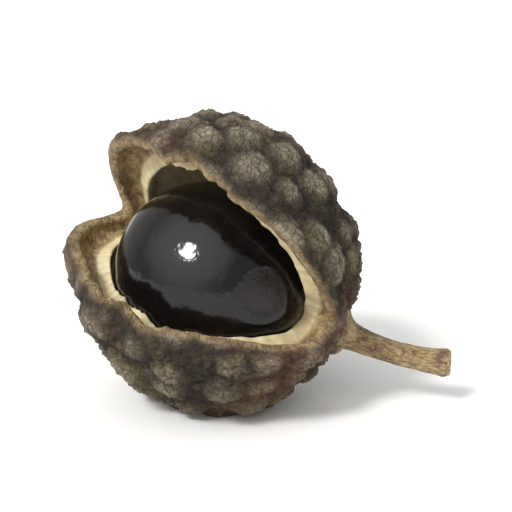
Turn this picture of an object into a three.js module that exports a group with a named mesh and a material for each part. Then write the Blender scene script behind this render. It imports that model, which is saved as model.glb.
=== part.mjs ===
// A dried Sichuan peppercorn: the fruit's warty husk, split open along its seam, the glossy black seed
// inside it, and its short stalk. Millimetres, +Z up. The husk lies on a small flat spot, and the origin
// is the middle of that spot.
import * as THREE from "three";

// The husk
const HALF_ALONG = 2.4; // along the split, from the stalk's side to the tip's side
const HALF_ACROSS = 2.42; // from one valve to the other
const HALF_DEEP = 2.28; // from the back to the mouth
const WALL = 0.45;
const LIP = 0.25; // the wall's thickness at the edge of the split
const INNER_EDGE = 0.93; // where the pale inner face ends in a step, short of the lip at 1
const INNER_CURL = 0.09; // how far the inner face curls off the wall at that step
const LIP_FLARE = 0.14; // how far the lip leans out, on average
const REST_HEIGHT = 2.32; // the husk's middle above the surface it lies on

// The split, as angles from the middle of the mouth
const SPLIT_TO_STALK = radians(94);
const SPLIT_TO_TIP = radians(92);
const SPLIT_HALF_WIDTH = radians(34);
const SPLIT_POINTED = 1.7; // 2 is an ellipse, and less is more pointed at the ends
const STALK_FROM_MOUTH = radians(122);
const TIP_FROM_MOUTH = radians(62);

// The way the husk lies: where its mouth faces, and the rough way to its stalk
const MOUTHWARD = new THREE.Vector3(-0.46, -0.78, 0.42).normalize();
const ROUGHLY_STALKWARD = new THREE.Vector3(0.85, -0.1, -0.45);

// The raised oil glands
const GLANDS = 150;
const GLAND_RADIUS = [0.32, 0.47];
const GLAND_HEIGHT = 0.42; // as a share of its radius
const GLAND_STRAY = 0.07; // how far a gland may lie off the even lattice, as a share of the husk's radius
const SEED_FOR_RANDOM = 20;

// Shallow dents where the rind has shrunk: where, how deep and how wide, as shares of the husk's radius
const DENTS = [
  [new THREE.Vector3(0.3, 0.85, -0.35).normalize(), 0.045, 0.42],
  [new THREE.Vector3(-0.35, -0.85, 0.1).normalize(), 0.04, 0.4],
  [new THREE.Vector3(-0.5, 0.4, -0.6).normalize(), 0.025, 0.35],
];

// The seed and the stalk
const SEED_HALF = new THREE.Vector3(1.72, 1.62, 1.66); // half its length, width and depth
const SEED_GAP = 0.03;
const SEED_SINKS_TO = new THREE.Vector3(-0.25, -0.42, -0.87).normalize();
const STALK_SEAT = 0.5; // radius of the flat seat on the husk
const STALK_SEAT_DEPTH = 0.12;
const STALK_GAP = 0.01;
const STALK_REACH = 1.8; // how far it runs straight out from the husk, before its bend moves its tip
const STALK_BEND = new THREE.Vector3(0.5, -0.2, 0.25);
// Its radius at shares of its length, from the end disc to the broken tip
const STALK_SECTIONS = [
  [0, 0.44], [0.035, 0.47], [0.075, 0.47], [0.115, 0.41], [0.155, 0.31], [0.2, 0.25], [0.28, 0.22],
  [0.4, 0.2], [0.52, 0.19], [0.64, 0.195], [0.76, 0.2], [0.88, 0.22], [0.96, 0.24], [1, 0.21],
];
const NUB_TURNS = [1.9, 4.5]; // where two fruits that never grew swell the end disc

// How finely each piece is cut into faces
const HUSK_AROUND = 100;
const HUSK_RINGS = 42;
const INNER_RINGS = [1, 0.965, 0.945, 0.925, 0.905, 0.87, 0.8, 0.69, 0.57, 0.45, 0.33, 0.22, 0.11];
const SEED_AROUND = 32;
const SEED_RINGS = 20;
const STALK_AROUND = 18;

function radians(degrees) {
  return (degrees * Math.PI) / 180;
}

function smooth(from, to, x) {
  return THREE.MathUtils.smoothstep(x, from, to);
}

// The husk's own directions: stalkward, across and mouthward, with its middle at the origin
const stalkward = ROUGHLY_STALKWARD.clone()
  .addScaledVector(MOUTHWARD, -ROUGHLY_STALKWARD.dot(MOUTHWARD))
  .normalize();
const across = new THREE.Vector3().crossVectors(MOUTHWARD, stalkward);
const lie = new THREE.Matrix4().makeBasis(stalkward, across, MOUTHWARD).setPosition(0, 0, REST_HEIGHT);

// A direction in the husk: back is the angle from the middle of its back, turn the angle round its mouth
function direction(back, turn) {
  return new THREE.Vector3(
    Math.sin(back) * Math.cos(turn),
    Math.sin(back) * Math.sin(turn),
    -Math.cos(back),
  );
}

const stalkDirection = direction(Math.PI - STALK_FROM_MOUTH, 0);
const tipDirection = direction(Math.PI - TIP_FROM_MOUTH, Math.PI);

// The angle from the middle of the mouth to the edge of the split
function splitAngle(turn) {
  const length = Math.cos(turn) > 0 ? SPLIT_TO_STALK : SPLIT_TO_TIP;
  const alongPart = Math.abs(Math.cos(turn) / length) ** SPLIT_POINTED;
  const acrossPart = Math.abs(Math.sin(turn) / SPLIT_HALF_WIDTH) ** SPLIT_POINTED;
  const wave = radians(2.3) * Math.sin(5 * turn + 0.8) + radians(1.3) * Math.sin(11 * turn + 2.1);
  return (alongPart + acrossPart) ** (-1 / SPLIT_POINTED) + wave * Math.abs(Math.sin(turn));
}

// Numbers from 0 to 1 that look random and are the same on every run
function* draws(seed) {
  let state = seed;
  while (true) {
    state = (state * 1664525 + 1013904223) % 4294967296;
    yield state / 4294967296;
  }
}

// The oil glands lie on a spiral lattice, each moved a little, and leave the mouth and the stalk's seat bare
function placeGlands() {
  const random = draws(SEED_FOR_RANDOM);
  const next = () => random.next().value;
  const golden = Math.PI * (3 - Math.sqrt(5));
  const placed = [];
  for (let i = 0; i < GLANDS; i += 1) {
    const height = 1 - (2 * i + 1) / GLANDS;
    const ring = Math.sqrt(1 - height * height);
    const at = new THREE.Vector3(ring * Math.cos(golden * i), ring * Math.sin(golden * i), height);
    const stray = new THREE.Vector3(next() - 0.5, next() - 0.5, next() - 0.5);
    at.addScaledVector(stray, 2 * GLAND_STRAY).normalize();
    const radius = THREE.MathUtils.lerp(...GLAND_RADIUS, next());
    placed.push({ at, radius: radius / HALF_ALONG });
  }
  return placed;
}

const glands = placeGlands();

function glandRelief(at) {
  let relief = 0;
  for (const gland of glands) {
    const away = at.angleTo(gland.at) / gland.radius;
    if (away < 1) {
      relief = Math.max(relief, GLAND_HEIGHT * gland.radius * HALF_ALONG * (1 - away * away) ** 1.3);
    }
  }
  return relief;
}

// The husk's radius with no glands on it: a fat lens that is wider on the mouth's side and a little lopsided
function bodyRadius(at) {
  const widening = 1 + 0.05 * smooth(-0.3, 0.9, at.z);
  const lens = 1 / Math.hypot(at.x / HALF_ALONG, at.y / (HALF_ACROSS * widening), at.z / HALF_DEEP);
  const lopsided = 0.014 * Math.sin(3 * at.x + 2 * at.y + 1.3) + 0.012 * Math.sin(4 * at.z - 3 * at.y);
  const seam = 0.045 * Math.exp(-((at.y / 0.13) ** 2)) * smooth(-0.99, -0.5, at.z);
  let dents = 0;
  for (const [middle, depth, spread] of DENTS) {
    dents += depth * Math.exp(-((at.angleTo(middle) / spread) ** 2));
  }
  return lens * (1 + lopsided - seam - dents);
}

// The husk's outside, where edge runs from 0 at the middle of its back to 1 at the lip
function outerRadius(at, edge) {
  const bare = smooth(STALK_SEAT * 0.8, STALK_SEAT * 1.7, at.angleTo(stalkDirection) * HALF_ALONG);
  const turn = Math.atan2(at.y, at.x);
  const uneven = 1 + 0.55 * Math.sin(3 * turn + 0.6) + 0.35 * Math.sin(7 * turn + 2);
  const nearLip = smooth(0.8, 1, edge) * uneven;
  const tip = 0.26 * Math.exp(-((at.angleTo(tipDirection) / 0.4) ** 2)) * smooth(0.85, 1, edge);
  const relief = glandRelief(at) * bare * (1 - 0.75 * smooth(0.94, 1, edge));
  return bodyRadius(at) + relief + LIP_FLARE * nearLip + tip;
}

// The husk's inside: the pale inner face, and past the step where it ends, the inside of the lip
function innerRadius(at, edge, turn) {
  const step = INNER_EDGE + 0.006 * Math.sin(7 * turn + 0.4) + 0.004 * Math.sin(12 * turn);
  const curl = INNER_CURL * smooth(step - 0.12, step - 0.02, edge);
  const lipInside = outerRadius(at, 1) - LIP;
  const pastStep = smooth(step - 0.012, step + 0.015, edge);
  return THREE.MathUtils.lerp(bodyRadius(at) - WALL - curl, lipInside, pastStep);
}

const seatHeight = bodyRadius(stalkDirection) - STALK_SEAT_DEPTH;

// A point of the husk's outside, moved on to the stalk's flat seat where it is near it
function onSeat(point) {
  const height = point.dot(stalkDirection);
  const beside = Math.sqrt(Math.max(0, point.lengthSq() - height * height));
  const flat = height > 0 ? 1 - smooth(STALK_SEAT, STALK_SEAT * 1.35, beside) : 0;
  return point.addScaledVector(stalkDirection, (seatHeight - height) * flat);
}

// Points evenly round one ring, closer together at the split's ends as the ring nears the lip
function ringTurns(count, edge) {
  const turns = [];
  for (let i = 0; i < count; i += 1) {
    const even = (2 * Math.PI * i) / count;
    turns.push(even - 0.28 * edge * edge * Math.sin(2 * even));
  }
  return turns;
}

// Rings near the back's middle need fewer points
function ringCount(around, edge) {
  if (edge < 0.15) return around / 4;
  return edge < 0.4 ? around / 2 : around;
}

// One ring of the husk, where edge runs from 0 at the middle of its back to 1 at the lip, and past is an
// angle beyond that
function huskRing(edge, past, radiusAt) {
  return ringTurns(ringCount(HUSK_AROUND, edge), edge).map((turn) => {
    const at = direction(edge * (Math.PI - splitAngle(turn)) + past, turn);
    return at.clone().multiplyScalar(radiusAt(at, turn));
  });
}

// A closed skin of faces over a first point, rings of points and a last point. Each ring has as many
// points as the one before it, twice as many or half as many.
function skin(first, rings, last) {
  const points = [first, ...rings.flat(), last];
  const faces = [];
  let start = 1;
  const firstRing = rings[0].length;
  for (let i = 0; i < firstRing; i += 1) faces.push(0, start + ((i + 1) % firstRing), start + i);
  for (let r = 0; r + 1 < rings.length; r += 1) {
    const [a, b] = [rings[r].length, rings[r + 1].length];
    const here = (i) => start + (i % a);
    const there = (i) => start + a + (i % b);
    for (let i = 0; i < Math.min(a, b); i += 1) {
      if (a === b) {
        const [p, q, v, w] = [here(i), here(i + 1), there(i + 1), there(i)];
        const rising = points[p].distanceTo(points[v]) < points[q].distanceTo(points[w]);
        if (rising) faces.push(p, q, v, p, v, w);
        else faces.push(p, q, w, q, v, w);
      } else if (a < b) {
        faces.push(here(i), there(2 * i + 1), there(2 * i));
        faces.push(here(i), here(i + 1), there(2 * i + 1));
        faces.push(here(i + 1), there(2 * i + 2), there(2 * i + 1));
      } else {
        faces.push(here(2 * i), here(2 * i + 1), there(i));
        faces.push(here(2 * i + 1), there(i + 1), there(i));
        faces.push(here(2 * i + 1), here(2 * i + 2), there(i + 1));
      }
    }
    start += a;
  }
  const lastRing = rings[rings.length - 1].length;
  for (let i = 0; i < lastRing; i += 1) faces.push(start + i, start + ((i + 1) % lastRing), start + lastRing);
  return new THREE.BufferGeometry().setFromPoints(points).setIndex(faces);
}

function huskSkin() {
  const rings = [];
  for (let r = 1; r <= HUSK_RINGS; r += 1) {
    const edge = r / HUSK_RINGS;
    rings.push(huskRing(edge, 0, (at) => outerRadius(at, edge)).map(onSeat));
  }
  for (const roll of [Math.PI / 3, (2 * Math.PI) / 3]) {
    const past = ((LIP / 2) * Math.sin(roll)) / HALF_ALONG;
    rings.push(huskRing(1, past, (at) => outerRadius(at, 1) - (LIP / 2) * (1 - Math.cos(roll))));
  }
  for (const edge of INNER_RINGS) rings.push(huskRing(edge, 0, (at, turn) => innerRadius(at, edge, turn)));
  const back = direction(0, 0);
  const backOf = (radius) => back.clone().multiplyScalar(radius);
  return skin(backOf(outerRadius(back, 0)), rings, backOf(innerRadius(back, 0, 0)));
}

// A smooth ovoid with a shallow flat scar where it was joined to the fruit
function seedSkin() {
  const scar = new THREE.Vector3(0.9, 0.15, 0.5).normalize();
  const rings = [];
  for (let r = 1; r < SEED_RINGS; r += 1) {
    const back = (Math.PI * r) / SEED_RINGS;
    const ring = [];
    for (let i = 0; i < SEED_AROUND; i += 1) {
      const at = direction(back, (2 * Math.PI * i) / SEED_AROUND);
      const flat = 1 - 0.03 * Math.exp(-((at.angleTo(scar) / 0.3) ** 4));
      ring.push(SEED_HALF.clone().multiply(at).multiplyScalar(flat));
    }
    rings.push(ring);
  }
  return skin(new THREE.Vector3(0, 0, -SEED_HALF.z), rings, new THREE.Vector3(0, 0, SEED_HALF.z));
}

// The seed slides down inside the husk until it all but touches the wall
function settleSeed(geometry) {
  const down = SEED_SINKS_TO.clone().transformDirection(lie.clone().invert());
  const position = geometry.getAttribute("position");
  const clearance = (drop) => {
    let least = Infinity;
    for (let i = 0; i < position.count; i += 1) {
      const point = new THREE.Vector3().fromBufferAttribute(position, i).addScaledVector(down, drop);
      const length = point.length();
      least = Math.min(least, innerRadius(point.divideScalar(length), 0, 0) - length);
    }
    return least;
  };
  let drop = 0;
  while (clearance(drop + 0.005) > SEED_GAP) drop += 0.005;
  return geometry.translate(down.x * drop, down.y * drop, down.z * drop);
}

// The stalk leaves a disc on the husk, narrows at once, and bends down to the surface
function stalkSkin() {
  const root = stalkDirection.clone().multiplyScalar(seatHeight + STALK_GAP).applyMatrix4(lie);
  const out = stalkDirection.clone().transformDirection(lie);
  const along = (distance, bend) =>
    root.clone().addScaledVector(out, distance).addScaledVector(STALK_BEND, bend);
  const path = new THREE.CubicBezierCurve3(
    root,
    along(STALK_REACH * 0.42, 0),
    along(STALK_REACH * 0.74, 0.25),
    along(STALK_REACH, 1),
  );
  const frame = new THREE.Vector3(0, 1, 0);
  const rings = STALK_SECTIONS.map(([share, radius]) => {
    const tangent = path.getTangentAt(share);
    const side = new THREE.Vector3().crossVectors(tangent, frame).normalize();
    const up = new THREE.Vector3().crossVectors(side, tangent);
    const middle = path.getPointAt(share);
    const ring = [];
    for (let i = 0; i < STALK_AROUND; i += 1) {
      const turn = (2 * Math.PI * i) / STALK_AROUND;
      const nubs = NUB_TURNS.reduce((sum, at) => sum + Math.exp(-(((turn - at) / 0.45) ** 2)), 0);
      const swollen = 0.45 * nubs * Math.exp(-(((share - 0.09) / 0.055) ** 2));
      const ribbed = radius * (1 + 0.06 * Math.cos(5 * turn + 3 * share) + swollen);
      ring.push(
        middle.clone()
          .addScaledVector(side, ribbed * Math.cos(turn))
          .addScaledVector(up, -ribbed * Math.sin(turn)),
      );
    }
    return ring;
  });
  return skin(path.getPointAt(0), rings, path.getPointAt(1));
}

// Whatever would reach below the surface is pressed flat on it
function pressFlat(geometry) {
  const position = geometry.getAttribute("position");
  for (let i = 0; i < position.count; i += 1) position.setZ(i, Math.max(0, position.getZ(i)));
  return geometry;
}

function piece(name, geometry, colour, roughness) {
  geometry.computeVertexNormals();
  const material = new THREE.MeshStandardMaterial({ color: colour, roughness, metalness: 0 });
  const mesh = new THREE.Mesh(geometry, material);
  mesh.name = name;
  return mesh;
}

const peppercorn = new THREE.Group();
peppercorn.add(
  piece("husk", pressFlat(huskSkin().applyMatrix4(lie)), 0x5c513f, 0.85),
  piece("seed", settleSeed(seedSkin()).applyMatrix4(lie), 0x101012, 0.18),
  piece("stalk", pressFlat(stalkSkin()), 0x83704f, 0.85),
);

export default peppercorn;
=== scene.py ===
"""A dried Sichuan peppercorn on a pale studio floor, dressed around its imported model.

Objects are in metres, in the model's own frame. The peppercorn is only 5 mm across, so its shapes are
worked out in millimetres, and made metres as each mesh is made.
"""
import math

import bpy
import numpy as np
from mathutils import Matrix, Vector


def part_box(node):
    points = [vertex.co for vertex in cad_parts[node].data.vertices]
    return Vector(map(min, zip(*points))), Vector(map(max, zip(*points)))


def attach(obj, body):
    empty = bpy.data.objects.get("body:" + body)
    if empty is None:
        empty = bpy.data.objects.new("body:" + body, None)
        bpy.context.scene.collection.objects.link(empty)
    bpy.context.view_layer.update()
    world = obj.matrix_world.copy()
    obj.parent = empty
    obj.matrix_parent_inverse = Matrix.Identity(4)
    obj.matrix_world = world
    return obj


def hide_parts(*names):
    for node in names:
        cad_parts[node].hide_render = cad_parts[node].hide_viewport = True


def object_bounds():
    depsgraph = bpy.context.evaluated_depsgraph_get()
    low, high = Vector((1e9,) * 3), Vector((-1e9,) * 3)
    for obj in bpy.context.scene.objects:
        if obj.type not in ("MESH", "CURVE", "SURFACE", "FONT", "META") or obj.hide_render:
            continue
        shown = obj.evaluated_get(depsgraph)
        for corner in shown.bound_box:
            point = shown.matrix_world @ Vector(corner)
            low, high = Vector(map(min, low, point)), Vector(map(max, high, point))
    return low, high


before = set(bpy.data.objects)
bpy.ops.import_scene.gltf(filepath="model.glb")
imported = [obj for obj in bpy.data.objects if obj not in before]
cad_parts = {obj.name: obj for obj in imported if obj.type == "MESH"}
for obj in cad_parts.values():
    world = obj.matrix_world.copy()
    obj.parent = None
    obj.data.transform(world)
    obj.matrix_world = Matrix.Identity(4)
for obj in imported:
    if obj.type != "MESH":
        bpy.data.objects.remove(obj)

bl_info = {
    "name": "Sichuan Peppercorn",
    "version": (1, 0, 0),
    "blender": (4, 5, 0),
    "location": "View3D > Sidebar > Peppercorn",
    "description": "Makes a dried Sichuan peppercorn: its warty split husk, glossy seed and short stalk",
    "category": "Object",
}

CAD_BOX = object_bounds()
MM = 0.001

# The split, in angles from the middle of the mouth
SPLIT_TO_STALK = math.radians(94)
SPLIT_TO_TIP = math.radians(92)
SPLIT_HALF_WIDTH = math.radians(34)
SPLIT_POINTED = 1.7
STALK_FROM_MOUTH = math.radians(122)
TIP_FROM_MOUTH = math.radians(62)

# How the husk lies: where its mouth faces, the rough way to its stalk, and its middle's height in mm
MOUTHWARD = Vector((-0.46, -0.78, 0.42)).normalized()
ROUGHLY_STALKWARD = Vector((0.85, -0.1, -0.45))
REST_HEIGHT = 2.32

# The husk's sizes that no setting changes, in mm, with its inner edge as a share of the way to the lip
LIP_FLARE = 0.14
INNER_EDGE = 0.93
INNER_CURL = 0.09
STALK_SEAT = 0.5
STALK_SEAT_DEPTH = 0.12
STALK_GAP = 0.01
GLAND_STRAY = 0.07
SMALL_GLAND_RADIUS = (0.11, 0.21)
SEED_FOR_RANDOM = 20

# The husk's form: how much wider its mouth's side is and how deep its seam is sunk, as shares of its
# radius, how far its tip reaches out in mm, and how wide the seam and the tip are, as angles
MOUTH_WIDENING = 0.05
SEAM_DEPTH = 0.045
SEAM_SPREAD = 0.13
TIP_REACH = 0.26
TIP_SPREAD = 0.4

# The split's edge is uneven: its waves and nicks, each as an angle, a count round the split and a start
SPLIT_WAVES = ((2.3, 5, 0.8), (1.3, 11, 2.1), (0.4, 31, 1.0), (0.25, 57, 0.0))

# So is the edge of the papery inner face: its waves and tears, each as a share of the way to the lip, a
# count round the split and a start
PAPER_WAVES = ((0.006, 7, 0.4), (0.004, 12, 0), (0.003, 23, 2), (0.0025, 38, 0), (0.0015, 71, 1))

# Shallow dents where the rind has shrunk: where, how deep and how wide, as shares of the husk's radius
DENTS = (
    ((0.3, 0.85, -0.35), 0.045, 0.42),
    ((-0.35, -0.85, 0.1), 0.04, 0.4),
    ((-0.5, 0.4, -0.6), 0.025, 0.35),
)

# The edge of the papery inner face, from the lip's side: steps past INNER_EDGE, and how far in from the
# lip's inside. The face's edge has come away from the wall, so the steps turn back under it.
PAPER_EDGE = (
    (0.030, 0.0), (0.012, 0.02), (-0.006, 0.06), (-0.020, 0.14), (-0.029, 0.30), (-0.028, 0.48),
    (-0.018, 0.64), (-0.004, 0.77), (0.005, 0.85), (0.009, 0.92), (0.008, 0.98), (0.002, 1.0),
    (-0.007, 1.0), (-0.017, 1.0), (-0.029, 1.0), (-0.043, 1.0),
)

# How finely the husk is cut
HUSK_AROUND = 448
HUSK_RINGS = 184
LIP_ROLLS = 8
INNER_RINGS = 34
CROWDING = 0.28  # how much closer together its points lie at the split's ends, at the lip

# The rind's relief, as features along the husk's radius: the bends of the glands' outlines, the net of
# folds, the finer net of pleats, and the lumps. A reach says how far the bends or the net's kinks go.
GLAND_BENDS = 5.0
GLAND_BEND_REACH = 0.09
FOLDS = 9.0
FOLD_REACH = 0.17
PLEATS = 21.0
LUMPS = 12.0

# The seed's scar: the way to it in the husk's directions, its radius as an angle, and its depth and the
# height of its rim as shares of the seed's radius
SCAR_WAY = (0.9, 0.15, 0.5)
SCAR_RADIUS = 0.3
SCAR_DEPTH = 0.03
SCAR_RIM = 0.006
SEED_CUTS = 7  # how often the ball that it starts from is cut finer

# The stalk: its radius in mm at shares of its length from the end disc to the broken tip, how far the tip
# is bent aside, how finely it is cut, and where two fruits that never grew swell its disc
STALK_SECTIONS = (
    (0, 0.44), (0.035, 0.47), (0.075, 0.47), (0.115, 0.41), (0.155, 0.31), (0.2, 0.25), (0.28, 0.22),
    (0.4, 0.2), (0.52, 0.19), (0.64, 0.195), (0.76, 0.2), (0.88, 0.22), (0.96, 0.24), (1, 0.23),
)
STALK_BEND = (0.5, -0.2, 0.25)
STALK_RINGS = 340
STALK_AROUND = 80
NUB_TURNS = (1.9, 4.5)
NUB_OUT = 0.21
NUB_ASIDE = 0.45
NUB_RADIUS = 0.2
NUB_HEIGHT = 0.19

# The screen colours that mottle the pieces, beside those that are settings
RUSTY = "6e4a38"
OLIVE = "726c42"
SCUFFED = "b8ad98"
# Dust and painted shade in the rind's creases
CREASE_DUST_AND_SHADE = "2a2118"
FINE_CREASE_DUST_AND_SHADE = "33281c"
PORE = "2e2219"
STRAND = "b5a074"
STAIN = "8d6f4a"
PALE_FLESH = "a18c63"
DARK_FLESH = "705c3f"
COAT_BROWN = "17120f"
DUSTY = "6b6255"
BARK_FURROW = "5f4b32"
BARK_CREST = "bba67c"
BARK_SPOT = "3c2e20"
WOOD_SHADE = "8f754c"
FLOOR_SHADE = "dcdad6"

# How many features of each pattern lie along a metre
FLOOR_CLOUDS = 40.0
BLUSH = 420.0
COAT_CLOUDS = 900.0
PATCHES = 1300.0
SWELLS = 2600.0
KINKS = 3600.0
BARK_MOTTLE = 3800.0
MOTTLE = 5200.0
CREASES = 6500.0
SPLINTERS = 7000.0
PITS = 8500.0
FIBRES = 15000.0
FINE_CREASES = 15000.0
DUST = 16000.0
GRAIN = 24000.0

# The studio: each light's name, strength, spread in degrees and way, the sky's colour, its strength away
# from the key light and right round it, the cosine where that glow begins, and the strength of the plain
# backdrop. The camera's lens and distance are in mm.
KEY_WAY = (0.5, 0.62, -0.75)
LIGHTS = (
    ("key_light", 2.5, 14, KEY_WAY),
    ("fill_light", 0.6, 60, (-0.5, -0.7, -0.5)),
)
SKY = (0.98, 0.99, 1.0, 1.0)
SKY_STRENGTH = (0.5, 1.75)
GLOW_FROM = 0.5
BACKDROP = 1.05
LENS = 85
CAMERA_DISTANCE = 20.5
FLOOR_HALF = 2.0  # half the floor's width in metres


# Settings

def length_setting(name, description, millimetres):
    return bpy.props.FloatProperty(
        name=name, description=description, default=millimetres * MM, min=0, precision=6, unit="LENGTH"
    )


def linear(code):
    """A screen colour such as "a08050" as the linear colour that shaders take."""
    shares = [int(code[i : i + 2], 16) / 255 for i in (0, 2, 4)]
    return (*[s / 12.92 if s <= 0.04045 else ((s + 0.055) / 1.055) ** 2.4 for s in shares], 1.0)


def colour_setting(name, description, code):
    return bpy.props.FloatVectorProperty(
        name=name, description=description, default=linear(code), size=4, min=0, max=1, subtype="COLOR"
    )


class HuskSettings(bpy.types.PropertyGroup):
    half_along: length_setting("Half length", "From the middle towards the stalk's side of the split", 2.4)
    half_across: length_setting("Half width", "From the middle to either valve", 2.42)
    half_deep: length_setting("Half depth", "From the middle to the back", 2.28)
    wall: length_setting("Wall", "Thickness of the rind and its pale inner face", 0.45)
    lip: length_setting("Lip", "Thickness of the edge of the split", 0.25)
    glands: bpy.props.IntProperty(
        name="Oil glands", description="How many raised glands would cover a whole ball", default=150, min=1
    )
    small_glands: bpy.props.IntProperty(
        name="Small glands", description="How many small glands would lie between them", default=190, min=1
    )
    gland_small: length_setting("Smallest gland", "Radius of the smallest gland", 0.32)
    gland_large: length_setting("Largest gland", "Radius of the largest gland", 0.47)
    gland_height: bpy.props.FloatProperty(
        name="Gland height", description="Height of a gland as a share of its radius", default=0.42, min=0
    )
    wrinkle: length_setting("Wrinkles", "Depth of the fine wrinkles over and between the glands", 0.032)
    # The furrows' colour holds painted shade besides the rind's own dark, and the gland tops' colour holds
    # painted light besides their own paler tone
    furrow: colour_setting("Furrows", "Colour between the glands", "30271d")
    rind: colour_setting("Rind", "Colour of the glands' slopes", "655a49")
    crown: colour_setting("Gland tops", "Colour of the glands' tops", "998d78")
    inner_face: colour_setting("Inner face", "Colour of the papery inner face", "d6c8a0")


class SeedSettings(bpy.types.PropertyGroup):
    half_long: length_setting("Half length", "Along the split", 1.72)
    half_wide: length_setting("Half width", "Across the split", 1.62)
    half_deep: length_setting("Half depth", "From back to front", 1.66)
    unevenness: bpy.props.FloatProperty(
        name="Unevenness", description="How far the coat swells and dips, as a share", default=0.006, min=0
    )
    coat: colour_setting("Seed coat", "Colour of the glossy coat", "0b0b0c")
    scar: colour_setting("Scar", "Colour of the dull scar where the seed grew on", "1a1511")


class StalkSettings(bpy.types.PropertyGroup):
    reach: length_setting("Reach", "How far the stalk runs straight out from the husk", 1.8)
    bark_depth: length_setting("Bark", "Depth of the ridges in its dry skin", 0.02)
    bark: colour_setting("Skin", "Colour of the stalk's dry skin", "a18a62")
    broken: colour_setting("Broken end", "Colour of the wood at the broken tip", "c8b284")


class StageSettings(bpy.types.PropertyGroup):
    floor: colour_setting("Floor", "Colour of the studio floor", "f1f0ed")
    elevation: bpy.props.FloatProperty(
        name="Camera elevation",
        description="How far the camera looks down",
        default=math.radians(14),
        subtype="ANGLE",
    )


# Node trees

class Wire:
    """A node's output, on which Python's arithmetic adds Math nodes."""

    def __init__(self, graph, socket):
        self.graph = graph
        self.socket = socket

    def __add__(self, other):
        return self.graph.math("ADD", self, other)

    def __sub__(self, other):
        return self.graph.math("SUBTRACT", self, other)

    def __rsub__(self, other):
        return self.graph.math("SUBTRACT", other, self)

    def __mul__(self, other):
        return self.graph.math("MULTIPLY", self, other)

    def __truediv__(self, other):
        return self.graph.math("DIVIDE", self, other)

    def __pow__(self, other):
        return self.graph.math("POWER", self, other)

    def __neg__(self):
        return self.graph.math("MULTIPLY", self, -1)

    __radd__ = __add__
    __rmul__ = __mul__


def socket_of(sockets, key):
    """A socket by its number, its identifier or its name."""
    if isinstance(key, int):
        return sockets[key]
    for socket in sockets:
        if socket.identifier == key:
            return socket
    return next(socket for socket in sockets if socket.name == key and socket.enabled)


class Graph:
    """A node tree that is written as plain calls."""

    def __init__(self, tree):
        self.tree = tree

    def link(self, value, socket):
        if isinstance(value, Wire):
            self.tree.links.new(value.socket, socket)
        else:
            socket.default_value = value

    def node(self, kind, settings=None, inputs=None):
        """A new node, with its settings set before its sockets are given their values or links."""
        node = self.tree.nodes.new(kind)
        for name, value in (settings or {}).items():
            setattr(node, name, value)
        for key, value in (inputs or {}).items():
            self.link(value, socket_of(node.inputs, key))
        return node

    def out(self, node, key=0):
        return Wire(self, socket_of(node.outputs, key))

    def math(self, operation, *values):
        return self.out(self.node("ShaderNodeMath", {"operation": operation}, dict(enumerate(values))))

    def vector(self, operation, *values, output="Vector", **inputs):
        inputs = {**dict(enumerate(values)), **inputs}
        return self.out(self.node("ShaderNodeVectorMath", {"operation": operation}, inputs), output)

    def split(self, vector):
        node = self.node("ShaderNodeSeparateXYZ", None, {0: vector})
        return [self.out(node, axis) for axis in range(3)]

    def join(self, x, y, z):
        return self.out(self.node("ShaderNodeCombineXYZ", None, {0: x, 1: y, 2: z}))

    def smooth(self, value, low, high, start=0.0, end=1.0):
        settings = {"interpolation_type": "SMOOTHSTEP"}
        inputs = {"Value": value, "From Min": low, "From Max": high, "To Min": start, "To Max": end}
        return self.out(self.node("ShaderNodeMapRange", settings, inputs), "Result")

    def blend(self, factor, a, b, how="MIX"):
        settings = {"data_type": "RGBA", "blend_type": how}
        inputs = {"Factor_Float": factor, "A_Color": a, "B_Color": b}
        return self.out(self.node("ShaderNodeMix", settings, inputs), "Result_Color")

    def noise(self, where, scale, detail=2.0, roughness=0.5, output=0):
        inputs = {"Vector": where, "Scale": scale, "Detail": detail, "Roughness": roughness}
        return self.out(self.node("ShaderNodeTexNoise", {"noise_dimensions": "3D"}, inputs), output)

    def net(self, where, scale, width):
        """Lines between cells: 0 in the middle of a line and 1 from this width on, a share of a cell."""
        settings = {"voronoi_dimensions": "3D", "feature": "DISTANCE_TO_EDGE"}
        cells = self.node("ShaderNodeTexVoronoi", settings, {"Vector": where, "Scale": scale})
        return self.smooth(self.out(cells, "Distance"), 0.0, width)

    def shaken(self, where, scale, reach, detail):
        """Places that a noise has moved, each by up to about half the reach."""
        middle = (0.5, 0.5, 0.5)
        shake = self.vector("SUBTRACT", self.noise(where, scale, detail, output="Color"), middle)
        return self.vector("ADD", where, self.vector("SCALE", shake, Scale=reach))


def geometry_tree(name, inputs):
    """An empty geometry tree with these inputs, each a title and a socket kind, and the inputs' wires."""
    tree = bpy.data.node_groups.new(name, "GeometryNodeTree")
    tree.interface.new_socket(name="Geometry", in_out="OUTPUT", socket_type="NodeSocketGeometry")
    for title, kind in inputs.items():
        tree.interface.new_socket(name=title, in_out="INPUT", socket_type="NodeSocket" + kind)
    graph = Graph(tree)
    given = graph.node("NodeGroupInput")
    return graph, {title: graph.out(given, title) for title in inputs}


def finish_tree(graph, geometry, material):
    real = graph.out(graph.node("GeometryNodeRealizeInstances", None, {"Geometry": geometry}))
    inputs = {"Geometry": real, "Material": material}
    finished = graph.out(graph.node("GeometryNodeSetMaterial", None, inputs))
    graph.link(finished, graph.node("NodeGroupOutput").inputs["Geometry"])


def stored(graph, geometry, name, value, kind="FLOAT"):
    settings = {"data_type": kind, "domain": "POINT"}
    inputs = {"Geometry": geometry, "Name": name, "Value": value}
    return graph.out(graph.node("GeometryNodeStoreNamedAttribute", settings, inputs))


def named(graph, name, kind="FLOAT"):
    node = graph.node("GeometryNodeInputNamedAttribute", {"data_type": kind}, {"Name": name})
    return graph.out(node, "Attribute")


def moved(graph, geometry, **inputs):
    return graph.out(graph.node("GeometryNodeSetPosition", None, {"Geometry": geometry, **inputs}))


def new_piece(name, data):
    piece = bpy.data.objects.new(name, data)
    bpy.context.collection.objects.link(piece)
    return piece


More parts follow.
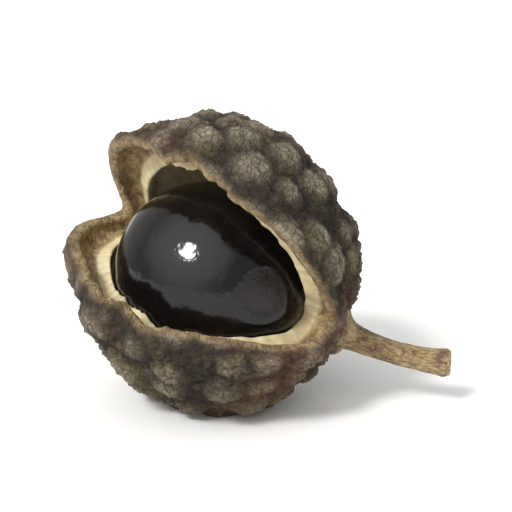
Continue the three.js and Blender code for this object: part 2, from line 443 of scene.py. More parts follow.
def grown(name, data, graph, values):
    """A piece whose plain mesh is what the tree makes of the data with these input values."""
    source = new_piece(name, data)
    modifier = source.modifiers.new(graph.tree.name, "NODES")
    modifier.node_group = graph.tree
    for item in graph.tree.interface.items_tree:
        if item.in_out == "INPUT" and item.name in values:
            modifier[item.identifier] = values[item.name]
    depsgraph = bpy.context.evaluated_depsgraph_get()
    evaluated = source.evaluated_get(depsgraph)
    mesh = bpy.data.meshes.new_from_object(evaluated, preserve_all_data_layers=True, depsgraph=depsgraph)
    source.modifiers.remove(modifier)
    bpy.data.objects.remove(source)
    mesh.name = name
    mesh.shade_smooth()
    return new_piece(name, mesh)


def put_in_place(piece, node):
    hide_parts(node)
    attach(piece, "root")


# The husk's shape, in mm in its own directions: stalkward, across and mouthward

def husk_directions():
    stalkward = (ROUGHLY_STALKWARD - MOUTHWARD * ROUGHLY_STALKWARD.dot(MOUTHWARD)).normalized()
    return np.array((stalkward, MOUTHWARD.cross(stalkward), MOUTHWARD))


HUSK_DIRECTIONS = husk_directions()


def laid(points):
    """Points of the husk's own directions, as it lies, in metres."""
    return (points @ HUSK_DIRECTIONS + (0, 0, REST_HEIGHT)) * MM


def smoothstep(low, high, x):
    share = np.clip((x - low) / (high - low), 0, 1)
    return share * share * (3 - 2 * share)


def direction(back, turn):
    """The way out from the husk's middle at an angle from the back's middle and a turn round the mouth."""
    return np.stack((np.sin(back) * np.cos(turn), np.sin(back) * np.sin(turn), -np.cos(back)), axis=-1)


def waved_by(waves, turn):
    """The sum of some waves at a turn round the split."""
    return sum(size * np.sin(count * turn + start) for size, count, start in waves)


def angle_to(ways, way):
    return np.arccos(np.clip(ways @ np.asarray(way), -1, 1))


STALK_WAY = direction(math.pi - STALK_FROM_MOUTH, 0.0)
TIP_WAY = direction(math.pi - TIP_FROM_MOUTH, math.pi)


def split_angle(turn):
    """The angle from the middle of the mouth to the edge of the split."""
    length = np.where(np.cos(turn) > 0, SPLIT_TO_STALK, SPLIT_TO_TIP)
    along = np.abs(np.cos(turn) / length) ** SPLIT_POINTED
    across = np.abs(np.sin(turn) / SPLIT_HALF_WIDTH) ** SPLIT_POINTED
    uneven = np.radians(waved_by(SPLIT_WAVES, turn))
    return (along + across) ** (-1 / SPLIT_POINTED) + uneven * np.abs(np.sin(turn))


def draws(state):
    """Numbers from 0 to 1 that look random and are the same on every run."""
    while True:
        state = (state * 1664525 + 1013904223) % 4294967296
        yield state / 4294967296


def place_glands(count, small, large, random):
    """The ways out to glands on a spiral lattice, each moved off it a little, and their radii in mm."""
    golden = math.pi * (3 - math.sqrt(5))
    ways, radii = [], []
    for i in range(count):
        height = 1 - (2 * i + 1) / count
        ring = math.sqrt(1 - height * height)
        way = np.array((ring * math.cos(golden * i), ring * math.sin(golden * i), height))
        way += 2 * GLAND_STRAY * np.array([next(random) - 0.5 for _ in range(3)])
        ways.append(way / np.linalg.norm(way))
        radii.append((small + (large - small) * next(random)) / MM)
    return ways, radii


class HuskShape:
    """The husk's surfaces as distances from its middle, in mm, before its glands are raised."""

    def __init__(self, settings):
        self.half = np.array((settings.half_along, settings.half_across, settings.half_deep)) / MM
        self.wall = settings.wall / MM
        self.lip = settings.lip / MM

    def body(self, way):
        x, y, z = way[..., 0], way[..., 1], way[..., 2]
        widening = 1 + MOUTH_WIDENING * smoothstep(-0.3, 0.9, z)
        along, across, deep = self.half
        lens = 1 / np.sqrt((x / along) ** 2 + (y / across / widening) ** 2 + (z / deep) ** 2)
        lopsided = 0.014 * np.sin(3 * x + 2 * y + 1.3) + 0.012 * np.sin(4 * z - 3 * y)
        seam = SEAM_DEPTH * np.exp(-((y / SEAM_SPREAD) ** 2)) * smoothstep(-0.99, -0.5, z)
        dents = 0
        for middle, depth, spread in DENTS:
            away = angle_to(way, Vector(middle).normalized())
            dents = dents + depth * np.exp(-((away / spread) ** 2))
        return lens * (1 + lopsided - seam - dents)

    def outside(self, way, edge):
        near_tip = np.exp(-((angle_to(way, TIP_WAY) / TIP_SPREAD) ** 2)) * smoothstep(0.85, 1, edge)
        turn = np.arctan2(way[..., 1], way[..., 0])
        uneven = 1 + 0.55 * np.sin(3 * turn + 0.6) + 0.35 * np.sin(7 * turn + 2)
        return self.body(way) + LIP_FLARE * smoothstep(0.8, 1, edge) * uneven + TIP_REACH * near_tip

    def wartiness(self, way, edge):
        """How much of the glands' relief shows: none on the stalk's seat, and little at the lip."""
        beside = angle_to(way, STALK_WAY) * self.half[0]
        return smoothstep(STALK_SEAT * 0.8, STALK_SEAT * 1.7, beside) * (1 - 0.75 * smoothstep(0.94, 1, edge))

    def inside(self, way, share, step, depth):
        """The inside, where depth runs from 0 at the lip's inside to 1 at the papery inner face."""
        curl = INNER_CURL * smoothstep(step - 0.12, step - 0.02, share)
        lip_inside = self.outside(way, 1.0) - self.lip
        return lip_inside + (self.body(way) - self.wall - curl - lip_inside) * depth

    def seated(self, points):
        """Points of the outside, moved on to the stalk's flat seat where they are near it."""
        height = points @ STALK_WAY
        beside = np.sqrt(np.maximum(0, np.sum(points * points, axis=-1) - height * height))
        flat = np.where(height > 0, 1 - smoothstep(STALK_SEAT, STALK_SEAT * 1.35, beside), 0)
        return points + ((self.seat_height() - height) * flat)[:, None] * STALK_WAY

    def seat_height(self):
        return self.body(STALK_WAY) - STALK_SEAT_DEPTH


def ring_turns(count, edge):
    """Turns round one ring, closer together at the split's ends as the ring nears the lip."""
    even = 2 * np.pi * np.arange(count) / count
    return even - CROWDING * edge * edge * np.sin(2 * even)


def ring_count(edge):
    """How many points a ring has: fewer near the middle of the back."""
    if edge < 0.07:
        return HUSK_AROUND // 8
    if edge < 0.15:
        return HUSK_AROUND // 4
    return HUSK_AROUND // 2 if edge < 0.4 else HUSK_AROUND


def husk_rings(shape):
    """The rings of the husk's skin, from the middle of its back over the lip and into its inside. Each has
    its points and, for every point: way out, edge, wartiness, roughness, paleness and turn."""
    rings = []

    def ring(edge, share, past, radius_at, warty, rough, pale):
        turn = ring_turns(ring_count(edge), edge)
        way = direction(share(turn) * (np.pi - split_angle(turn)) + past, turn)
        points = way * radius_at(way, turn)[:, None]
        fill = np.ones(len(turn))
        rings.append({
            "points": points, "way": way, "edge": fill * edge, "warty": warty(way) * fill,
            "rough": rough * fill, "pale": pale * fill, "turn": turn,
        })

    for r in range(1, HUSK_RINGS + 1):
        edge = r / HUSK_RINGS
        ring(
            edge, lambda turn: edge, 0, lambda way, turn: shape.outside(way, edge),
            lambda way: shape.wartiness(way, edge), 1 - 0.6 * smoothstep(0.93, 1, edge), 0,
        )
        rings[-1]["points"] = shape.seated(rings[-1]["points"])

    for k in range(1, LIP_ROLLS):
        roll = math.pi * k / LIP_ROLLS
        ring(
            1, lambda turn: 1, shape.lip / 2 * math.sin(roll) / shape.half[0],
            lambda way, turn: shape.outside(way, 1.0) - shape.lip / 2 * (1 - math.cos(roll)),
            lambda way: shape.wartiness(way, 1.0), 0.4, 0.5 * k / LIP_ROLLS,
        )

    def step(turn):
        return INNER_EDGE + waved_by(PAPER_WAVES, turn)

    def waved(edge):
        """The edge's share of the way to the lip, which follows the papery edge's waves where it is near."""
        near = smoothstep(0.55, 0.88, edge) * (1 - smoothstep(0.94, 0.99, edge))
        return lambda turn: edge + (step(turn) - INNER_EDGE) * near

    inner = [(1, 0), (0.988, 0), (0.977, 0)]
    inner += [(INNER_EDGE + past, depth) for past, depth in PAPER_EDGE]
    inner += [(edge, 1) for edge in np.linspace(0.87, 0.03, INNER_RINGS)]
    for edge, depth in inner:
        ring(
            edge, waved(edge), 0,
            lambda way, turn: shape.inside(way, waved(edge)(turn), step(turn), depth),
            lambda way: shape.wartiness(way, 1.0) * (1 - depth), 0.25 * (1 - depth),
            0.5 + 0.5 * smoothstep(0.3, 0.8, depth),
        )
    return rings


def skin(rings):
    """Faces over a first point, rings of points and a last point. Each ring has as many points as the one
    before it, twice as many or half as many. The faces point outwards."""
    starts = [int(start) for start in np.cumsum([1] + [len(ring) for ring in rings])]
    count = len(rings[0])
    faces = [(0, 1 + (i + 1) % count, 1 + i) for i in range(count)]
    for near_ring, far_ring, near, far in zip(rings, rings[1:], starts, starts[1:]):
        a, b = len(near_ring), len(far_ring)
        for i in range(min(a, b)):
            j = (i + 1) % min(a, b)
            if a == b:
                faces.append((near + i, near + j, far + j, far + i))
            elif a < b:
                left, middle, right = (far + (2 * i + k) % b for k in range(3))
                faces += [(near + i, middle, left), (near + i, near + j, middle), (near + j, right, middle)]
            else:
                left, middle, right = (near + (2 * i + k) % a for k in range(3))
                faces += [(left, middle, far + i), (middle, far + j, far + i), (middle, right, far + j)]
    end, count, last = starts[-2], len(rings[-1]), starts[-1]
    return faces + [(end + i, end + (i + 1) % count, last) for i in range(count)]


def set_attribute(mesh, name, values, kind="FLOAT"):
    attribute = mesh.attributes.new(name, kind, "POINT")
    key = "vector" if kind == "FLOAT_VECTOR" else "value"
    attribute.data.foreach_set(key, np.ascontiguousarray(values, np.float32).ravel())


def bare_husk(settings):
    """The husk before its glands are raised, as a mesh that remembers where on the husk each point is."""
    shape = HuskShape(settings)
    rings = husk_rings(shape)
    back = np.array((0.0, 0.0, -1.0))

    def gathered(key, first, last):
        return np.concatenate([[first], *[ring[key] for ring in rings], [last]])

    outermost = back * shape.outside(back, 0.0)
    innermost = back * shape.inside(back, 0.0, INNER_EDGE, 1.0)
    mesh = bpy.data.meshes.new("husk")
    points = laid(gathered("points", outermost, innermost))
    mesh.from_pydata(points.tolist(), [], skin([ring["points"] for ring in rings]))
    set_attribute(mesh, "way", gathered("way", back, back) @ HUSK_DIRECTIONS, "FLOAT_VECTOR")
    for key, first, last in (("warty", 1, 0), ("rough", 1, 0), ("pale", 0, 1)):
        set_attribute(mesh, key, gathered(key, first, last))
    turn, edge = gathered("turn", 0, 0), gathered("edge", 0, 0)
    set_attribute(mesh, "grain", np.stack((np.cos(turn), np.sin(turn), edge * 0.4), axis=-1), "FLOAT_VECTOR")
    return mesh


def gland_points(settings):
    """One point for each gland, on a ball of radius 1, with its radius in mm and how dark it is."""
    random = draws(SEED_FOR_RANDOM)
    ways, radii = place_glands(settings.glands, settings.gland_small, settings.gland_large, random)
    random = draws(SEED_FOR_RANDOM + 1)
    smallest, largest = SMALL_GLAND_RADIUS
    between, between_radii = place_glands(settings.small_glands, smallest * MM, largest * MM, random)
    mesh = bpy.data.meshes.new("glands")
    mesh.from_pydata((np.array(ways + between) @ HUSK_DIRECTIONS).tolist(), [], [])
    set_attribute(mesh, "gland_radius", radii + between_radii)
    set_attribute(mesh, "gland_tint", [next(random) for _ in ways + between])
    return new_piece("glands", mesh)


def gland_tree():
    """Raises each gland as a low dome, and the fine wrinkles, along every point's way out."""
    graph, given = geometry_tree("Oil glands and wrinkles", {
        "Geometry": "Geometry", "Glands": "Object", "Gland Height": "Float", "Husk Radius": "Float",
        "Wrinkle Depth": "Float", "Material": "Material",
    })
    info = graph.node("GeometryNodeObjectInfo", {"transform_space": "ORIGINAL"}, {"Object": given["Glands"]})
    glands = graph.out(info, "Geometry")
    size = graph.node("GeometryNodeAttributeDomainSize", {"component": "MESH"}, {"Geometry": glands})

    way = named(graph, "way", "FLOAT_VECTOR")
    bent = graph.vector("NORMALIZE", graph.shaken(way, GLAND_BENDS, GLAND_BEND_REACH, 2.0))
    husk = stored(graph, given["Geometry"], "bent", bent, "FLOAT_VECTOR")
    husk = stored(graph, husk, "relief", 0.0)
    husk = stored(graph, husk, "away", 1.0)
    husk = stored(graph, husk, "tint", 0.5)
    start = graph.node("GeometryNodeRepeatInput")
    end = graph.node("GeometryNodeRepeatOutput")
    start.pair_with_output(end)
    graph.link(graph.out(size, "Point Count"), start.inputs["Iterations"])
    graph.link(husk, start.inputs["Geometry"])

    def of_gland(value, kind):
        inputs = {"Geometry": glands, "Value": value, "Index": graph.out(start, "Iteration")}
        return graph.out(graph.node("GeometryNodeSampleIndex", {"data_type": kind}, inputs), "Value")

    bent = named(graph, "bent", "FLOAT_VECTOR")
    middle = of_gland(graph.out(graph.node("GeometryNodeInputPosition")), "FLOAT_VECTOR")
    radius = of_gland(named(graph, "gland_radius"), "FLOAT")
    cosine = graph.math("MINIMUM", graph.vector("DOT_PRODUCT", bent, middle, output="Value"), 1.0)
    away = graph.math("MINIMUM", graph.math("ARCCOSINE", cosine) * given["Husk Radius"] / radius, 1.0)
    height = given["Gland Height"] * radius * (1 - away * away) ** 1.3
    relief = named(graph, "relief")
    higher = graph.math("GREATER_THAN", height, relief)
    tint, nearest = named(graph, "tint"), named(graph, "away")
    husk = graph.out(start, "Geometry")
    husk = stored(graph, husk, "tint", tint + (of_gland(named(graph, "gland_tint"), "FLOAT") - tint) * higher)
    husk = stored(graph, husk, "away", nearest + (away - nearest) * higher)
    husk = stored(graph, husk, "relief", graph.math("MAXIMUM", height, relief))
    graph.link(husk, end.inputs["Geometry"])
    husk = graph.out(end, "Geometry")

    rough, pale = named(graph, "rough"), named(graph, "pale")
    shaken = graph.shaken(way, FOLDS, FOLD_REACH, 3.0)
    folds = (graph.net(shaken, FOLDS, 0.2) - 1) * 1.1
    pleats = (graph.net(shaken, PLEATS, 0.24) - 1) * 0.75
    lumps = (graph.noise(shaken, LUMPS, 6.0, 0.68) - 0.5) * 2.6
    fibres = (graph.noise(named(graph, "grain", "FLOAT_VECTOR"), 15.0, 4.0, 0.6) - 0.5) * pale
    wrinkles = (folds + pleats + lumps) * rough + fibres * 0.7
    sunk = graph.smooth(nearest, 0.04, 0.62, -0.55, 0.0) * graph.smooth(tint, 0.35, 0.95)
    pore = graph.smooth(nearest, 0.03, 0.2, -0.12, 0.0)
    out = relief * (sunk + pore + 1.0) * named(graph, "warty") + wrinkles * given["Wrinkle Depth"]
    husk = moved(graph, husk, Offset=graph.vector("SCALE", way, Scale=out * MM))

    x, y, z = graph.split(graph.out(graph.node("GeometryNodeInputPosition")))
    husk = moved(graph, husk, Position=graph.join(x, y, graph.math("MAXIMUM", z, 0.0)))
    finish_tree(graph, husk, given["Material"])
    return graph


# The seed and the stalk

def coat_tree():
    """A ball pulled to the seed's three half sizes, with a flat scar and a faintly uneven coat."""
    graph, given = geometry_tree("Seed coat", {
        "Half Sizes": "Vector", "Scar Way": "Vector", "Unevenness": "Float", "Material": "Material",
    })
    ball = graph.node("GeometryNodeMeshIcoSphere", None, {"Radius": 1.0, "Subdivisions": SEED_CUTS})
    way = graph.vector("NORMALIZE", graph.out(graph.node("GeometryNodeInputPosition")))
    cosine = graph.math("MINIMUM", graph.vector("DOT_PRODUCT", way, given["Scar Way"], output="Value"), 1.0)
    from_scar = graph.math("ARCCOSINE", cosine) / SCAR_RADIUS
    scar = graph.math("EXPONENT", -(from_scar ** 4))
    seed = stored(graph, graph.out(ball, "Mesh"), "scar", scar)
    uneven = (graph.noise(way, 2.2, 2.0) - 0.5) * 1.6 + (graph.noise(way, 14.0, 3.0, 0.6) - 0.5) * 0.5
    rim = graph.smooth(from_scar, 0.7, 1.0) * graph.smooth(from_scar, 1.0, 1.35, 1.0, 0.0)
    uneven = uneven - scar * graph.noise(way, 30.0, 3.0)
    size = 1 - scar * SCAR_DEPTH + rim * SCAR_RIM + uneven * given["Unevenness"]
    ovoid = graph.vector("MULTIPLY", way, given["Half Sizes"])
    seed = moved(graph, seed, Position=graph.vector("SCALE", ovoid, Scale=size))
    finish_tree(graph, seed, given["Material"])
    return graph


def stalk_tree():
    """Sweeps a round section along the stalk's path, with its end disc, ribs, bark and broken tip."""
    graph, given = geometry_tree("Stalk", {
        "Geometry": "Geometry", "Rings": "Int", "Around": "Int", "First Nub": "Vector",
        "Second Nub": "Vector", "Bark Depth": "Float", "Material": "Material",
    })
    inputs = {"Curve": given["Geometry"], "Count": given["Rings"]}
    path = graph.node("GeometryNodeResampleCurve", {"mode": "COUNT"}, inputs)
    share = graph.out(graph.node("GeometryNodeSplineParameter"), "Factor")
    curve = graph.node("ShaderNodeFloatCurve", None, {"Value": share})
    trace(curve.mapping, STALK_SECTIONS)
    at_tip = graph.math("MAXIMUM", (share - 0.965) / 0.035, 0.0) ** 3
    at_root = graph.math("MAXIMUM", (0.006 - share) / 0.006, 0.0)
    rounded = graph.math("SQRT", graph.math("MAXIMUM", 1 - at_tip * at_tip - at_root * at_root, 0.0004))
    spine = stored(graph, graph.out(path, "Curve"), "share", share)
    spine = stored(graph, spine, "radius_here", graph.out(curve) * rounded * MM)
    inputs = {"Resolution": given["Around"], "Radius": 1.0}
    section = graph.out(graph.node("GeometryNodeCurvePrimitiveCircle", {"mode": "RADIUS"}, inputs), "Curve")
    section = stored(graph, section, "around", share)
    inputs = {
        "Curve": spine, "Profile Curve": section, "Scale": named(graph, "radius_here"), "Fill Caps": True,
    }
    stalk = graph.out(graph.node("GeometryNodeCurveToMesh", None, inputs))

    turn, along = named(graph, "around") * math.tau, named(graph, "share")
    grain = graph.join(graph.math("COSINE", turn), graph.math("SINE", turn), along * 3.0)
    stalk = stored(graph, stalk, "grain", grain, "FLOAT_VECTOR")
    grain = named(graph, "grain", "FLOAT_VECTOR")
    clear = graph.smooth(along, 0.01, 0.07)
    ribs = graph.math("COSINE", turn * 5.0 + along * 3.0) * 0.35 * graph.smooth(along, 0.15, 0.3)
    bark = (graph.noise(grain, 3.2, 4.0, 0.6) - 0.5) * 2.4 + ribs
    where = graph.out(graph.node("GeometryNodeInputPosition"))
    splinters = (graph.noise(where, SPLINTERS, 4.0, 0.7) - 0.6) * 9.0 * graph.smooth(along, 0.95, 0.995)
    nubs = 0
    for nub in (given["First Nub"], given["Second Nub"]):
        away = graph.vector("DISTANCE", where, nub, output="Value") / (NUB_RADIUS * MM)
        nubs = graph.math("EXPONENT", -(away * away)) * (NUB_HEIGHT * MM) + nubs
    out = (bark * clear + splinters) * given["Bark Depth"] + nubs
    normal = graph.out(graph.node("GeometryNodeInputNormal"))
    stalk = moved(graph, stalk, Offset=graph.vector("SCALE", normal, Scale=out))
    inputs = {"Geometry": stalk, "Distance": 1e-7}
    finish_tree(graph, graph.out(graph.node("GeometryNodeMergeByDistance", None, inputs)), given["Material"])
    return graph


def trace(mapping, points):
    """Makes a curve mapping run smoothly through these points."""
    curve = mapping.curves[0]
    while len(curve.points) < len(points):
        curve.points.new(0.5, 0.5)
    for point, (x, y) in zip(curve.points, points):
        point.location = (x, y)
        point.handle_type = "AUTO"
    mapping.update()


def stalk_path(settings):
    """The stalk's path as a Bezier curve, and the middles of its two undeveloped fruits."""
    shape = HuskShape(bpy.context.scene.peppercorn_husk)
    root = Vector(laid(STALK_WAY * (shape.seat_height() + STALK_GAP)))
    out = Vector(STALK_WAY @ HUSK_DIRECTIONS)
    reach, bend = settings.reach, Vector(STALK_BEND) * MM
    first, second, third, fourth = (
        root + out * reach * share + bend * lean for share, lean in ((0, 0), (0.42, 0), (0.74, 0.25), (1, 1))
    )
    curve = bpy.data.curves.new("stalk_path", "CURVE")
    curve.dimensions = "3D"
    spline = curve.splines.new("BEZIER")
    spline.bezier_points.add(1)
    spline.resolution_u = 64
    ends = ((first, first - (second - first), second), (fourth, third, fourth + (fourth - third)))
    for point, (place, left, right) in zip(spline.bezier_points, ends):
        point.handle_left_type = point.handle_right_type = "FREE"
        point.co, point.handle_left, point.handle_right = place, left, right
    side = out.cross((0, 1, 0)).normalized()
    up = side.cross(out)
    nubs = []
    for turn in NUB_TURNS:
        sideways = side * math.cos(turn) - up * math.sin(turn)
        nubs.append(root + (out * NUB_OUT + sideways * NUB_ASIDE) * MM)
    return curve, nubs


# Finishes

class Finish(Graph):
    """A material with one shader, whose patterns read the piece's own attributes or Object coordinates."""

    def __init__(self, name):
        self.material = bpy.data.materials.new(name)
        self.material.use_nodes = True
        super().__init__(self.material.node_tree)
        self.tree.nodes.clear()
        self.where = self.out(self.node("ShaderNodeTexCoord"), "Object")

    def attribute(self, name, output="Fac"):
        return self.out(self.node("ShaderNodeAttribute", {"attribute_name": name}), output)

    def bump(self, height, distance):
        return self.out(self.node("ShaderNodeBump", None, {"Height": height, "Distance": distance}))

    def finish(self, **inputs):
        """Ends the material in one Principled shader with these inputs, whose names have _ for a space."""
        inputs = {name.replace("_", " "): value for name, value in inputs.items()}
        shader = self.node("ShaderNodeBsdfPrincipled", None, inputs)
        self.node("ShaderNodeOutputMaterial", None, {"Surface": self.out(shader)})
        return self.material


def husk_finish(settings):
    finish = Finish("dry_warty_rind")
    relief, pale = finish.attribute("relief"), finish.attribute("pale")
    tint, away = finish.attribute("tint"), finish.attribute("away")
    broad = finish.noise(finish.where, BLUSH, 3.0, 0.55)
    patches = finish.noise(finish.where, PATCHES, 5.0, 0.65)
    mottle = finish.noise(finish.where, MOTTLE, 6.0, 0.7)
    fine = finish.noise(finish.where, GRAIN, 4.0, 0.65)
    strands = finish.noise(finish.attribute("grain", "Vector"), 20.0, 5.0, 0.65)
    shaken = finish.shaken(finish.where, KINKS, 0.16 * MM, 4.0)
    net = finish.net(shaken, CREASES, 0.16)
    small_net = finish.net(shaken, FINE_CREASES, 0.2)

    # Colour by the glands' height, darkest between them and palest on their tops: partly the rind's own
    # tones, partly painted shade in the furrows and painted light on the gland tops
    height = finish.smooth(relief + (mottle - 0.5) * 0.09, 0.0, 0.13)
    crown = finish.smooth(relief + (mottle - 0.5) * 0.16, 0.075, 0.2)
    rind = finish.blend(height, tuple(settings.furrow), tuple(settings.rind))
    rind = finish.blend(crown * 0.85, rind, tuple(settings.crown))
    blush = finish.smooth(broad + (mottle - 0.5) * 0.2, 0.5, 0.66)
    rind = finish.blend(blush * 0.5, rind, linear(RUSTY))
    rind = finish.blend(finish.smooth(patches, 0.5, 0.66) * 0.35, rind, linear(OLIVE))
    shade = tint * 0.4 + mottle * 0.9 + fine * 0.5 - 0.02
    rind = finish.blend(1.0, rind, finish.join(shade, shade, shade), "MULTIPLY")
    # Darker along the creases of the bump's two nets: dust and painted shade
    rind = finish.blend((1 - net) * 0.42, rind, linear(CREASE_DUST_AND_SHADE))
    rind = finish.blend((1 - small_net) * 0.25, rind, linear(FINE_CREASE_DUST_AND_SHADE))
    rind = finish.blend(finish.smooth(away, 0.02, 0.17, 0.55, 0.0) * height, rind, linear(PORE))
    scuffs = finish.smooth(fine * 0.7 + mottle * 0.5, 0.68, 0.76) * crown
    rind = finish.blend(scuffs * 0.45, rind, linear(SCUFFED))

    inner = tuple(settings.inner_face)
    inner = finish.blend(finish.smooth(strands, 0.35, 0.7) * 0.6, inner, linear(STRAND))
    inner = finish.blend(finish.smooth(patches, 0.5, 0.7) * 0.35, inner, linear(STAIN))
    cut = finish.blend(finish.smooth(mottle, 0.4, 0.6), linear(PALE_FLESH), linear(DARK_FLESH))
    within = finish.blend(finish.smooth(pale, 0.55, 0.8), cut, inner)
    colour = finish.blend(finish.smooth(pale, 0.02, 0.3), rind, within)

    roughness = 0.88 - crown * 0.22 - pale * 0.2 + (fine - 0.5) * 0.3
    dry = (net * 0.5 + small_net * 0.25 + mottle * 0.9 + fine * 0.3) * (1 - pale)
    rind_bump = finish.bump(dry + strands * pale * 0.7, 0.035 * MM)
    return finish.finish(
        Base_Color=colour, Roughness=roughness, Normal=rind_bump, IOR=1.46, Specular_IOR_Level=0.42
    )


def seed_finish(settings):
    finish = Finish("glossy_seed_coat")
    scar = finish.attribute("scar")
    cloud = finish.noise(finish.where, COAT_CLOUDS, 4.0, 0.6)
    swell = finish.noise(finish.where, SWELLS)
    dust = finish.noise(finish.where, DUST, 4.0, 0.7)
    coat = finish.blend(finish.smooth(cloud, 0.45, 0.7), tuple(settings.coat), linear(COAT_BROWN))
    specks = finish.smooth(dust, 0.68, 0.76)
    coat = finish.blend(specks * 0.3, coat, linear(DUSTY))
    dull = finish.smooth(scar + (swell - 0.5) * 0.9 + (dust - 0.5) * 0.5, 0.45, 0.95)
    colour = finish.blend(dull, coat, tuple(settings.scar))
    roughness = finish.smooth(cloud, 0.3, 0.8, 0.08, 0.2) + specks * 0.3 + dull * 0.18
    pits = finish.net(finish.where, PITS, 0.4)
    bump = finish.bump(swell * 0.6 + pits * 0.04 + dust * (dull * 0.6 + 0.03), 0.02 * MM)
    return finish.finish(Base_Color=colour, Roughness=roughness, Normal=bump, IOR=1.45)


def stalk_finish(settings):
    finish = Finish("dry_stalk_skin")
    grain, share = finish.attribute("grain", "Vector"), finish.attribute("share")
    streaks = finish.noise(grain, 6.0, 5.0, 0.65)
    mottle = finish.noise(finish.where, BARK_MOTTLE, 5.0, 0.6)
    colour = finish.blend(finish.smooth(streaks, 0.35, 0.65), linear(BARK_FURROW), tuple(settings.bark))
    colour = finish.blend(finish.smooth(mottle, 0.52, 0.66) * 0.6, colour, linear(BARK_CREST))
    colour = finish.blend(finish.smooth(mottle, 0.36, 0.46, 0.7, 0.0), colour, linear(BARK_SPOT))
    fibres = finish.noise(finish.where, FIBRES, 4.0, 0.7)
    wood = finish.blend(finish.smooth(fibres, 0.4, 0.62), linear(WOOD_SHADE), tuple(settings.broken))
    colour = finish.blend(finish.smooth(share + (mottle - 0.5) * 0.02, 0.978, 0.99), colour, wood)
    bump = finish.bump(streaks * 0.6 + mottle * 0.4, 0.02 * MM)
    return finish.finish(Base_Color=colour, Roughness=0.85 - mottle * 0.12, Normal=bump, IOR=1.46)


def floor_finish(settings):
    finish = Finish("pale_studio_floor")
    cloud = finish.noise(finish.where, FLOOR_CLOUDS)
    colour = finish.blend(cloud * 0.04, tuple(settings.floor), linear(FLOOR_SHADE))
    return finish.finish(Base_Color=colour, Roughness=0.75 + cloud * 0.1)


# Operators

class MakeHusk(bpy.types.Operator):
    """Make the warty husk, split open along its seam, with its papery inner face"""

    bl_idname = "peppercorn.make_husk"
    bl_label = "Make Husk"

    def execute(self, context):
        settings = context.scene.peppercorn_husk
        glands = gland_points(settings)
        husk = grown("peppercorn_husk", bare_husk(settings), gland_tree(), {
            "Glands": glands,
            "Gland Height": settings.gland_height,
            "Husk Radius": settings.half_along / MM,
            "Wrinkle Depth": settings.wrinkle / MM,
            "Material": husk_finish(settings),
        })
        bpy.data.objects.remove(glands)
        put_in_place(husk, "husk")
        return {"FINISHED"}


class MakeSeed(bpy.types.Operator):
    """Make the glossy black seed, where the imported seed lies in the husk"""

    bl_idname = "peppercorn.make_seed"
    bl_label = "Make Seed"

    def execute(self, context):
        settings = context.scene.peppercorn_seed
        empty = bpy.data.meshes.new("seed")
        seed = grown("peppercorn_seed", empty, coat_tree(), {
            "Half Sizes": (settings.half_long / MM, settings.half_wide / MM, settings.half_deep / MM),
            "Scar Way": Vector(SCAR_WAY).normalized(),
            "Unevenness": settings.unevenness,
            "Material": seed_finish(settings),
        })
        low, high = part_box("seed")
        turn = Matrix(HUSK_DIRECTIONS.T.tolist()).to_4x4()
        seed.data.transform(Matrix.Translation((low + high) / 2) @ turn @ Matrix.Scale(MM, 4))
        put_in_place(seed, "seed")
        return {"FINISHED"}


class MakeStalk(bpy.types.Operator):
    """Make the short dry stalk, with its end disc on the husk and its broken tip"""

    bl_idname = "peppercorn.make_stalk"
    bl_label = "Make Stalk"

    def execute(self, context):
        settings = context.scene.peppercorn_stalk
        path, nubs = stalk_path(settings)
        stalk = grown("peppercorn_stalk", path, stalk_tree(), {
            "Rings": STALK_RINGS,
            "Around": STALK_AROUND,
            "First Nub": nubs[0],
            "Second Nub": nubs[1],
            "Bark Depth": settings.bark_depth,
            "Material": stalk_finish(settings),
        })
        put_in_place(stalk, "stalk")
        return {"FINISHED"}


class MakeStage(bpy.types.Operator):
    """Make the floor, the studio light and the camera"""

    bl_idname = "peppercorn.make_stage"
    bl_label = "Make Stage"

    def execute(self, context):
        settings = context.scene.peppercorn_stage
        mesh = bpy.data.meshes.new("floor")
        corners = [(x * FLOOR_HALF, y * FLOOR_HALF, 0) for x, y in ((-1, -1), (1, -1), (1, 1), (-1, 1))]
        mesh.from_pydata(corners, [], [(0, 1, 2, 3)])
        mesh.materials.append(floor_finish(settings))
        new_piece("studio_floor", mesh)
        light_studio(context.scene)
        place_camera(context.scene, settings.elevation)
        return {"FINISHED"}


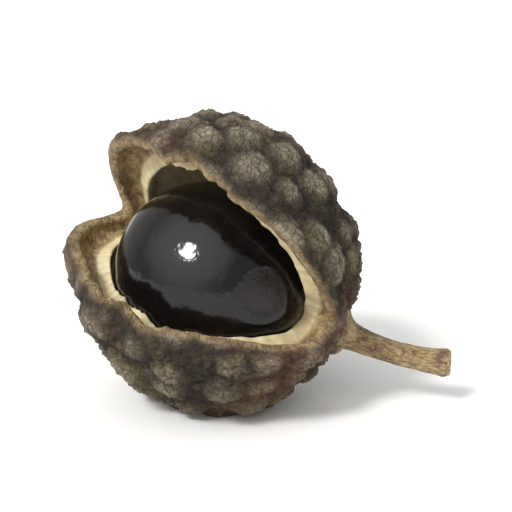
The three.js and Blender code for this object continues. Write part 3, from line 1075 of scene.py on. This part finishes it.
def light_studio(scene):
    """Soft light from all round, strongest round the key light, and a plain white backdrop."""
    world = bpy.data.worlds.new("studio_air")
    world.use_nodes = True
    air = Graph(world.node_tree)
    background = world.node_tree.nodes["Background"]
    background.inputs["Color"].default_value = SKY
    way = air.out(air.node("ShaderNodeTexCoord"), "Object")
    near_key = air.vector("DOT_PRODUCT", way, -Vector(KEY_WAY).normalized(), output="Value")
    glow = air.smooth(near_key, GLOW_FROM, 1.0, *SKY_STRENGTH)
    seen = air.out(air.node("ShaderNodeLightPath"), "Is Camera Ray")
    air.link(glow + (BACKDROP - glow) * seen, background.inputs["Strength"])
    scene.world = world
    for name, strength, spread, way in LIGHTS:
        light = bpy.data.lights.new(name, "SUN")
        light.energy = strength
        light.angle = math.radians(spread)
        lamp = new_piece(name, light)
        lamp.rotation_euler = Vector(way).to_track_quat("-Z", "Y").to_euler()
    scene.view_settings.view_transform = "Standard"


def place_camera(scene, elevation):
    low, high = CAD_BOX
    middle = (Vector(low) + Vector(high)) / 2
    camera = bpy.data.cameras.new("camera")
    camera.lens = LENS
    camera.clip_start = 1 * MM
    camera.clip_end = 10.0
    seat = new_piece("camera", camera)
    away = Vector((0, -math.cos(elevation), math.sin(elevation))) * CAMERA_DISTANCE * MM
    seat.location = middle + away
    seat.rotation_euler = (math.pi / 2 - elevation, 0, 0)
    scene.camera = seat


class PeppercornPanel(bpy.types.Panel):
    """The peppercorn's settings, and a button for each of its pieces"""

    bl_idname = "VIEW3D_PT_peppercorn"
    bl_label = "Sichuan Peppercorn"
    bl_space_type = "VIEW_3D"
    bl_region_type = "UI"
    bl_category = "Peppercorn"

    def draw(self, context):
        for operator, name in MAKERS:
            box = self.layout.box()
            box.operator(operator.bl_idname)
            settings = getattr(context.scene, name)
            for key in settings.__annotations__:
                box.prop(settings, key)


MAKERS = (
    (MakeHusk, "peppercorn_husk"),
    (MakeSeed, "peppercorn_seed"),
    (MakeStalk, "peppercorn_stalk"),
    (MakeStage, "peppercorn_stage"),
)
SETTINGS = {
    "peppercorn_husk": HuskSettings,
    "peppercorn_seed": SeedSettings,
    "peppercorn_stalk": StalkSettings,
    "peppercorn_stage": StageSettings,
}
CLASSES = (*SETTINGS.values(), *(operator for operator, _ in MAKERS), PeppercornPanel)


def register():
    for one in CLASSES:
        bpy.utils.register_class(one)
    for name, settings in SETTINGS.items():
        setattr(bpy.types.Scene, name, bpy.props.PointerProperty(type=settings))


def unregister():
    for name in SETTINGS:
        delattr(bpy.types.Scene, name)
    for one in reversed(CLASSES):
        bpy.utils.unregister_class(one)


def main():
    register()
    bpy.ops.peppercorn.make_husk()
    bpy.ops.peppercorn.make_seed()
    bpy.ops.peppercorn.make_stalk()
    bpy.ops.peppercorn.make_stage()


if __name__ == "__main__":
    main()
